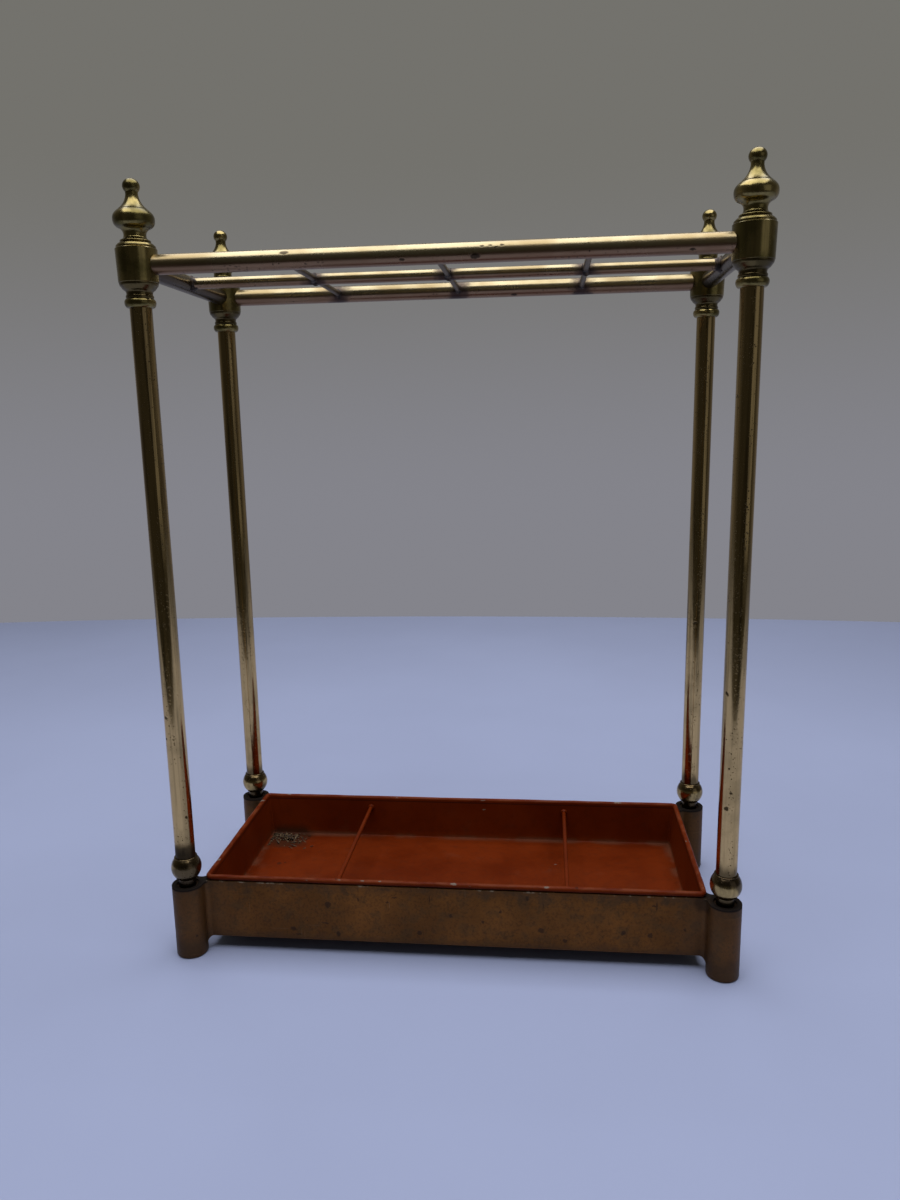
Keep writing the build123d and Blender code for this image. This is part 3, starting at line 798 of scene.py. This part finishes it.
def head_profile():
    """Lip, round ring, fine bead and neck under a drum with a fine step round its foot and another below."""
    neck_end = (NECK_RADIUS, NECK_TOP)
    swell = (SWELL_RADIUS, SWELL_HEIGHT)
    step = (SWELL_LINE_RADIUS - LINE_DEPTH, SWELL_LINE_HEIGHT)
    over_step = (SWELL_LINE_RADIUS, SWELL_LINE_HEIGHT + LINE_DEPTH)
    foot = (DRUM_FOOT_RADIUS - LINE_DEPTH, DRUM_FOOT)
    round_corner = (DRUM_FOOT_RADIUS - LINE_DEPTH, DRUM_FOOT - DRUM_FOOT_ROUND)
    top = drum_top - head_bottom
    points = [(0, 0), (LIP_RADIUS, 0)]
    points += quarter((LIP_RADIUS, 0), (RING_RADIUS, 0), (RING_RADIUS, RING_HEIGHT))
    points += quarter((RING_RADIUS, RING_HEIGHT), (RING_RADIUS, NECK_FOOT), (NECK_RADIUS, NECK_FOOT))
    points += bead(NECK_RADIUS, BEAD_RADIUS, NECK_FOOT, BEAD_TOP)
    points += bend((NECK_RADIUS, BEAD_TOP), neck_end, neck_end, swell)
    points += [step, over_step]
    points += quarter(over_step, round_corner, foot)
    points += [(DRUM_FOOT_RADIUS, DRUM_FOOT + LINE_DEPTH)]
    points += [(drum_radius, top - DRUM_EDGE), (drum_radius - DRUM_EDGE, top), (0, top)]
    return points


def finial_profile():
    """Shoulder with two fine beads, waist, cupped bulb, bell and a flattened ball at the tip."""
    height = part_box("finial_front_left")[1].z - drum_top
    base = FINIAL_BASE_RADIUS - STEP_ROUND
    under_step = STEP_HEIGHT - STEP_ROUND
    over_step = STEP_HEIGHT + STEP_ROUND
    waist = (WAIST_RADIUS, WAIST_HEIGHT)
    cup = (CUP_RADIUS, CUP_HEIGHT)
    bulb = (BULB_RADIUS, BULB_HEIGHT)
    bell = (BELL_RADIUS, BELL_HEIGHT)
    line = [(BELL_RADIUS - BELL_LINE_DEPTH, BELL_HEIGHT + rise) for rise in BELL_LINE]
    points = [(0, 0), (base, 0)]
    points += bead(base, FINIAL_BASE_RADIUS, 0, FINIAL_EDGE)
    points += bend((base, FINIAL_EDGE), *STEP_HANDLES, (STEP_RADIUS, under_step))
    points += bead(STEP_RADIUS, STEP_RADIUS + STEP_ROUND, under_step, over_step)
    points += bend((STEP_RADIUS, over_step), *WAIST_HANDLES, waist)
    points += bend(waist, *CUP_HANDLES, cup)
    points += bend(cup, *BULB_HANDLES, bulb)
    points += bend(bulb, *BELL_HANDLES, bell)
    points += line
    points += bend(line[-1], *NECK_HANDLES, (FINIAL_NECK_RADIUS, FINIAL_NECK_HEIGHT))
    tip_start = -math.degrees(math.acos(FINIAL_NECK_RADIUS / TIP_RADIUS))
    squash = TIP_HALF_HEIGHT / TIP_RADIUS
    tip = arc(0, TIP_RADIUS, tip_start, 90)
    return points + [(radius, height - TIP_HALF_HEIGHT + rise * squash) for radius, rise in tip]


def ball_profile():
    """Neck standing in the foot, ball, and a fine ring round the tube. Heights are above the seat."""
    centre = tube_bottom - TUBE_OVER_CENTRE - (foot_top - SEAT_DEPTH)
    neck_angle = -math.degrees(math.acos(BALL_NECK_RADIUS / BALL_RADIUS))
    ring_angle = math.degrees(math.acos(BALL_RING_RADIUS / BALL_RADIUS))
    ring_top = centre + BALL_RADIUS * math.sin(math.radians(ring_angle)) + BALL_RING_HEIGHT
    groove = (BALL_RING_RADIUS - BALL_RING_GROOVE, ring_top - BALL_RING_HEIGHT + BALL_RING_GROOVE)
    handles = [(BALL_RING_RADIUS + out, ring_top + up) for out, up in BALL_RING_HANDLES]
    points = [(0, 0), (BALL_NECK_RADIUS, 0)]
    points += arc(centre, BALL_RADIUS, neck_angle, ring_angle)
    points += [groove]
    points += bend(groove, *handles, (tube_radius + BALL_RING_GAP, ring_top))
    points += [(0, ring_top)]
    return points


def turned_pieces(head_finish, ball_finish):
    """Heads, finials and balls of the four legs."""
    for corner in CORNERS:
        axis = leg_axis[corner]
        kinds = (
            ("turned_head_", "corner_head_", head_profile(), head_bottom, head_finish),
            ("turned_finial_", "finial_", finial_profile(), drum_top, head_finish),
            ("turned_ball_", "ball_collar_", ball_profile(), foot_top - SEAT_DEPTH, ball_finish),
        )
        for name, node, profile, level, material in kinds:
            mesh = turn(profile, axis + Vector((0, 0, level)))
            piece = make_piece(mesh, name + corner, "frame", material)
            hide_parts(node + corner)


def round_edges(mesh, edges, width, segments, clamp=False):
    """Rounds edges of a bmesh, and gives the new geometry."""
    return bmesh.ops.bevel(mesh, geom=edges, offset=width, offset_type="OFFSET", segments=segments,
                           profile=0.5, affect="EDGES", clamp_overlap=clamp, material=-1)


def base_casting(material):
    """The casting with its sharp edges rounded; wear is 1 along them."""
    mesh = bmesh.new()
    mesh.from_mesh(nodes["base_frame"].data)
    wear = mesh.verts.layers.float.new("wear")
    bmesh.ops.remove_doubles(mesh, verts=mesh.verts, dist=MERGE)
    bmesh.ops.dissolve_limit(mesh, angle_limit=FLAT, verts=mesh.verts, edges=mesh.edges)
    sharp = [edge for edge in mesh.edges if edge.is_manifold and edge.calc_face_angle() > SHARP]
    made = round_edges(mesh, sharp, CAST_ROUND, 3, clamp=True)
    rounded = set(made["faces"])
    for vert in made["verts"]:
        vert[wear] = float(all(face in rounded for face in vert.link_faces))
    piece = make_piece(mesh, "base_casting", "frame", material)
    # Normals that come along from the solid don't fit the rounded edges
    if "custom_normal" in piece.data.attributes:
        piece.data.attributes.remove(piece.data.attributes["custom_normal"])
    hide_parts("base_frame")


def cut_across(mesh, axis, low, high, count):
    """Cuts a mesh into slices, so that its flat sides can bend a little."""
    for index in range(1, count):
        place = Vector((0, 0, 0))
        place[axis] = low + (high - low) * index / count
        across = Vector((0, 0, 0))
        across[axis] = 1
        geometry = mesh.verts[:] + mesh.edges[:] + mesh.faces[:]
        bmesh.ops.bisect_plane(mesh, geom=geometry, plane_co=place, plane_no=across, dist=MERGE)


def of_kind(geometry, kind):
    """The vertices, edges or faces among what an operator made."""
    return [item for item in geometry if isinstance(item, kind)]


def folded_box(floor_level, rim_level):
    """Open box with flared walls, rounded at its corners and along the fold of its floor."""
    top = Vector((tray_high.x, tray_high.y, 0)) - Vector((2 * RIM_RADIUS, 2 * RIM_RADIUS, 0))
    low = top - Vector((TRAY_FLARE, TRAY_FLARE, 0))
    mesh = bmesh.new()
    bmesh.ops.create_grid(mesh, x_segments=1, y_segments=1, size=1)
    bmesh.ops.scale(mesh, verts=mesh.verts, vec=(low.x, low.y, 1))
    bmesh.ops.translate(mesh, verts=mesh.verts, vec=(0, 0, floor_level))
    made = bmesh.ops.extrude_face_region(mesh, geom=mesh.faces[:], use_keep_orig=True)["geom"]
    raised = of_kind(made, bmesh.types.BMVert)
    bmesh.ops.scale(mesh, verts=raised, vec=(top.x / low.x, top.y / low.y, 1))
    bmesh.ops.translate(mesh, verts=raised, vec=(0, 0, rim_level - floor_level))
    bmesh.ops.delete(mesh, geom=of_kind(made, bmesh.types.BMFace), context="FACES_ONLY")
    upright = [edge for edge in mesh.edges if abs(edge.verts[0].co.z - edge.verts[1].co.z) > SHEET]
    round_edges(mesh, upright, TRAY_CORNER, 4)
    fold = [edge for edge in mesh.edges if len(edge.link_faces) == 2
            and max(vert.co.z for vert in edge.verts) < floor_level + MERGE]
    round_edges(mesh, fold, TRAY_FOLD, 3)
    return mesh


def tray_pan(material):
    """Folded sheet pan with flared walls, a little uneven."""
    rim_level = tray_high.z - RIM_RADIUS
    floor_level = tray_low.z + SHEET
    mesh = folded_box(floor_level, rim_level)
    lows = (tray_low.x, tray_low.y, floor_level)
    highs = (tray_high.x, tray_high.y, rim_level)
    for axis, count in enumerate(TRAY_SLICES):
        cut_across(mesh, axis, lows[axis], highs[axis], count)
    bmesh.ops.recalc_face_normals(mesh, faces=mesh.faces)
    inside = max(mesh.faces, key=lambda face: face.calc_area())
    if inside.normal.z < 0:
        bmesh.ops.reverse_faces(mesh, faces=mesh.faces)
    uneven(mesh, *SHEET_WAVES, rim_level)
    piece = make_piece(mesh, "tray_pan", "tray", material)
    for edge in piece.data.edges:
        if all(piece.data.vertices[index].co.z > rim_level - MERGE for index in edge.vertices):
            edge.use_edge_sharp = True
    wall = piece.modifiers.new("sheet", "SOLIDIFY")
    wall.thickness = SHEET
    wall.offset = -1
    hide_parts("drip_tray")


def lead_on(mesh, section, way):
    """Draws a section on by one step, and gives the section at its new place."""
    made = bmesh.ops.extrude_edge_only(mesh, edges=of_kind(section, bmesh.types.BMEdge))["geom"]
    ahead = [item for item in made if isinstance(item, bmesh.types.BMVert)
             or isinstance(item, bmesh.types.BMEdge) and all(vert in made for vert in item.verts)]
    bmesh.ops.translate(mesh, vec=way, verts=of_kind(ahead, bmesh.types.BMVert))
    return ahead


def tray_rim(material):
    """Rolled edge of the tray: a round section led along the sides and round the corners."""
    mesh = bmesh.new()
    ring = bmesh.ops.create_circle(mesh, radius=RIM_RADIUS, segments=RIM_SECTION)["verts"]
    reach = Vector((tray_high.x - RIM_CORNER, tray_high.y - RIM_CORNER, tray_high.z - RIM_RADIUS))
    bmesh.ops.rotate(mesh, verts=ring, cent=(0, 0, 0), matrix=Matrix.Rotation(math.pi / 2, 3, "Y"))
    bmesh.ops.translate(mesh, verts=ring, vec=(-reach.x, -reach.y - RIM_CORNER + RIM_RADIUS, reach.z))
    section = ring + mesh.edges[:]
    long_step = Vector((1, 0, 0)) * (2 * reach.x / RIM_SIDE_STEPS)
    short_step = Vector((0, 1, 0)) * (2 * reach.y / RIM_SIDE_STEPS)
    sides = ((1, -1, long_step), (1, 1, short_step), (-1, 1, -long_step), (-1, -1, -short_step))
    for x, y, way in sides:
        for _ in range(RIM_SIDE_STEPS):
            section = lead_on(mesh, section, way)
        corner = (x * reach.x, y * reach.y, 0)
        section = bmesh.ops.spin(mesh, geom=section, cent=corner, axis=(0, 0, 1), dvec=(0, 0, 0),
                                 angle=math.pi / 2, steps=RIM_CORNER_STEPS)["geom_last"]
    bmesh.ops.remove_doubles(mesh, verts=mesh.verts, dist=10 * MERGE)
    bmesh.ops.recalc_face_normals(mesh, faces=mesh.faces)
    uneven(mesh, *RIM_WAVES)
    make_piece(mesh, "tray_rim", "tray", material)


def lump(mesh, place, size, squash):
    """Small rounded lump, flattened along one direction."""
    ball = bmesh.ops.create_uvsphere(mesh, u_segments=16, v_segments=10, radius=size)["verts"]
    bmesh.ops.scale(mesh, verts=ball, vec=squash)
    bmesh.ops.translate(mesh, verts=ball, vec=place)


def divider_solder(material):
    """Painted lumps of solder where the divider rods meet the walls of the tray."""
    mesh = bmesh.new()
    for side in ("left", "right"):
        low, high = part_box("tray_divider_" + side)
        centre = (low + high) / 2
        back = (centre.x, high.y - DIVIDER_INSET, centre.z + BACK_LUMP_RISE)
        lump(mesh, back, BACK_LUMP, BACK_LUMP_SHAPE)
        lump(mesh, (centre.x, low.y + DIVIDER_INSET, centre.z), FRONT_LUMP, FRONT_LUMP_SHAPE)
    uneven(mesh, *DIVIDER_LUMPS)
    make_piece(mesh, "divider_solder", "tray", material)


def solder_collar(mesh, place, away, rod, thickness, length):
    """Fillet of solder round a rod: thick at the rail, thin along the rod."""
    thick_end = (rod + thickness, 0)
    thin = rod + COLLAR_SKIN
    handles = [(thin + out, length * share) for out, share in COLLAR_HANDLES]
    before = set(mesh.verts)
    spin_round(mesh, [thick_end] + bend(thick_end, *handles, (thin, length)), COLLAR_STEPS)
    new = [vert for vert in mesh.verts if vert not in before]
    turn_to = Vector((0, 0, 1)).rotation_difference(Vector(away)).to_matrix()
    bmesh.ops.rotate(mesh, verts=new, cent=(0, 0, 0), matrix=turn_to)
    bmesh.ops.translate(mesh, verts=new, vec=place)


def grid_solder(material):
    """Solder at every joint of the rods, the middle rail and the outer rails."""
    mesh = bmesh.new()
    rail_y = middle("back_rail").y
    joints = ((-rail_y + rail_radius, 1), (-middle_rail_radius, -1),
              (middle_rail_radius, 1), (rail_y - rail_radius, -1))
    for index in (1, 2, 3):
        x = middle("cross_rod_%d" % index).x
        for y, away in joints:
            place = (x, y - away * COLLAR_SINK, rail_height)
            solder_collar(mesh, place, (0, away, 0), rod_radius, ROD_COLLAR, ROD_COLLAR_LENGTH)
    side_x = middle("right_rail").x
    for side in (-1, 1):
        place = (side * (side_x - rail_radius + COLLAR_SINK), 0, rail_height)
        solder_collar(mesh, place, (-side, 0, 0), middle_rail_radius, RAIL_COLLAR, RAIL_COLLAR_LENGTH)
    bmesh.ops.remove_doubles(mesh, verts=mesh.verts, dist=MERGE)
    bmesh.ops.recalc_face_normals(mesh, faces=mesh.faces)
    uneven(mesh, *GRID_LUMPS)
    make_piece(mesh, "grid_solder", "frame", material)


def held_within(value, limits):
    """A value held between two limits."""
    return min(max(value, limits[0]), limits[1])


def leaf_crumbs(material):
    """Crumbs caught in the back left corner of the tray."""
    rng = random.Random(CRUMB_SEED)
    mesh = bmesh.new()
    floor_level = tray_low.z + SHEET
    for _ in range(CRUMB_COUNT):
        spread = rng.choice(CRUMB_SPREADS)
        step = Vector([rng.gauss(0, width) for width in HEAP_SPREAD]) * spread
        x = held_within(HEAP_PLACE.x + step.x, CRUMB_X)
        y = held_within(HEAP_PLACE.y + step.y, CRUMB_Y)
        pile = HEAP_HEIGHT * math.exp(-(step.length / HEAP_REACH) ** 2)
        size = rng.uniform(*CRUMB_SIZES)
        length = rng.choice(CRUMB_LENGTHS)
        crumb = bmesh.ops.create_icosphere(mesh, subdivisions=1, radius=size)["verts"]
        shape = (length, rng.uniform(*CRUMB_WIDTHS), rng.uniform(*CRUMB_FLATNESS))
        bmesh.ops.scale(mesh, verts=crumb, vec=shape)
        turned = Matrix.Rotation(rng.uniform(0, math.pi), 3, "Z")
        tipped = Matrix.Rotation(rng.uniform(-CRUMB_TIP, CRUMB_TIP), 3, "Y")
        bmesh.ops.rotate(mesh, verts=crumb, cent=(0, 0, 0), matrix=turned @ tipped)
        bmesh.ops.translate(mesh, verts=crumb, vec=(x, y, floor_level + size / 2 + pile * rng.random()))
    uneven(mesh, *CRUMB_LUMPS)
    make_piece(mesh, "leaf_crumbs", "tray", material)


def dress(material, *names):
    """Gives CAD nodes a finish."""
    for name in names:
        nodes[name].material_slots[0].material = material


# Stage

CAMERA_PLACE = Vector((0.0875, -0.8470, 0.4881))
CAMERA_YAW = math.radians(-6.17)
CAMERA_PITCH = math.radians(11.15)
CAMERA_ROLL = math.radians(-1.10)
CAMERA_LENS = 27.0
SENSOR_WIDTH = 36.0
FLOOR_WIDTH = 6.4
FLOOR_FRONT = -0.82
FLOOR_BACK = 1.4
FLOOR_SIDES = 160
BACK_GREY = (0.230, 0.230, 0.258)
HIGH_GREY = (0.172, 0.168, 0.152)
FRONT_GREY = (0.044, 0.043, 0.040)
UPWARD = (-0.10, 0.28)      # how far a direction points up where the grey changes
BACKWARD = (-0.6, 0.8)      # and how far it points back
SKY_TINT = (0.94, 0.98, 1.10)


def make_camera():
    """Camera at the viewing angle of the photograph."""
    data = bpy.data.cameras.new("camera")
    data.lens = CAMERA_LENS
    data.sensor_width = SENSOR_WIDTH
    camera = bpy.data.objects.new("camera", data)
    aim = Matrix.Rotation(-CAMERA_YAW, 4, "Z") @ Matrix.Rotation(math.pi / 2 - CAMERA_PITCH, 4, "X")
    camera.matrix_world = Matrix.Translation(CAMERA_PLACE) @ aim @ Matrix.Rotation(CAMERA_ROLL, 4, "Z")
    bpy.context.scene.collection.objects.link(camera)
    bpy.context.scene.camera = camera


def make_light(name, place, target, side, radiance):
    """Soft square light of a given brightness, pointed at a target."""
    data = bpy.data.lights.new(name, "AREA")
    data.shape = "SQUARE"
    data.size = side
    data.energy = radiance * math.pi * side * side
    data.color = SKY_TINT
    light = bpy.data.objects.new(name, data)
    light.location = place
    light.rotation_euler = (Vector(target) - Vector(place)).to_track_quat("-Z", "Y").to_euler()
    bpy.context.scene.collection.objects.link(light)


def make_world():
    """Grey room, lighter behind the stand than in front of it, and darker again higher up."""
    world = bpy.data.worlds.new("studio")
    world.use_nodes = True
    tree = world.node_tree
    way = tree.nodes.new("ShaderNodeTexCoord")
    parts = tree.nodes.new("ShaderNodeSeparateXYZ")
    tree.links.new(way.outputs["Generated"], parts.inputs[0])

    def shade(axis, low, high, first, second):
        """Colour that goes from one to the other as a part of the direction goes from low to high."""
        amount = tree.nodes.new("ShaderNodeMapRange")
        amount.interpolation_type = "SMOOTHSTEP"
        amount.inputs["From Min"].default_value = low
        amount.inputs["From Max"].default_value = high
        mix = tree.nodes.new("ShaderNodeMix")
        mix.data_type = "RGBA"
        tree.links.new(parts.outputs[axis], amount.inputs["Value"])
        tree.links.new(amount.outputs["Result"], mix.inputs[0])
        for socket, value in ((mix.inputs[6], first), (mix.inputs[7], second)):
            if isinstance(value, bpy.types.NodeSocket):
                tree.links.new(value, socket)
            else:
                socket.default_value = (*value, 1)
        return mix.outputs[2]

    behind = shade("Z", *UPWARD, BACK_GREY, HIGH_GREY)
    colour = shade("Y", *BACKWARD, FRONT_GREY, behind)
    tree.links.new(colour, tree.nodes["Background"].inputs["Color"])
    bpy.context.scene.world = world


def make_stage():
    """Oval floor, the room and two soft lights."""
    mesh = bmesh.new()
    bmesh.ops.create_circle(mesh, cap_ends=True, radius=0.5, segments=FLOOR_SIDES)
    bmesh.ops.scale(mesh, verts=mesh.verts, vec=(FLOOR_WIDTH, FLOOR_BACK - FLOOR_FRONT, 1))
    bmesh.ops.translate(mesh, verts=mesh.verts, vec=(0, (FLOOR_FRONT + FLOOR_BACK) / 2, 0))
    data = bpy.data.meshes.new("floor")
    mesh.to_mesh(data)
    mesh.free()
    data.materials.append(pale_floor())
    floor = bpy.data.objects.new("floor", data)
    bpy.context.scene.collection.objects.link(floor)
    make_world()
    make_light("overhead", place=(0.0, -0.1, 2.3), target=(0.0, -0.1, 0.0), side=2.5, radiance=3.45)
    make_light("right_side", place=(1.7, -1.5, 0.8), target=(0.0, 0.0, 0.4), side=1.5, radiance=0.26)
    bpy.context.scene.view_settings.view_transform = "Standard"


long_rails = rail_brass("long_rail_brass", stretch=(7, 150, 150), dull=0.0, underside_shading=COPPERY_REFLECTION)
side_rails = rail_brass("side_rail_brass", stretch=(150, 7, 150), dull=0.75, underside_shading=SIDE_RAIL_UNDERSIDE_SHADE)
paint = red_paint()
# Bands of painted shade: under each drum, round each ball's neck in its seat, and over the top of each ball
neck_shade = (head_bottom + NECK_FOOT, head_bottom + DRUM_FOOT, 0.6)
ball_seat_shade = (0.0, foot_top + 0.006, 0.85)
ball_top_shade = (ball_top - 0.0065, ball_top + 0.010, 0.75)
heads = turned_brass("head_brass", HEAD_BRASS, HEAD_TARNISH, fresh=0.12, pit_share=0.04,
                     polish=(0.21, 0.30), shade_bands=[neck_shade])
balls = turned_brass("ball_brass", BALL_BRASS, BALL_TARNISH, fresh=0.45, pit_share=0.50,
                     polish=(0.17, 0.25), shade_bands=[ball_seat_shade, ball_top_shade])

dress(leg_brass(), *("leg_tube_" + corner for corner in CORNERS))
dress(long_rails, "front_rail", "back_rail", "middle_rail")
dress(side_rails, "left_rail", "right_rail")
dress(dull_brass(), "cross_rod_1", "cross_rod_2", "cross_rod_3")
dress(paint, "tray_divider_left", "tray_divider_right")
dress(plain_steel(), "tie_rod_nuts", "tie_rod_washers", "tray_edge_wire",
      *("tie_rod_" + corner for corner in CORNERS))
turned_pieces(heads, balls)
base_casting(bronzed_iron())
tray_pan(paint)
tray_rim(paint)
divider_solder(paint)
grid_solder(solder())
leaf_crumbs(dry_crust())
make_stage()
make_camera()
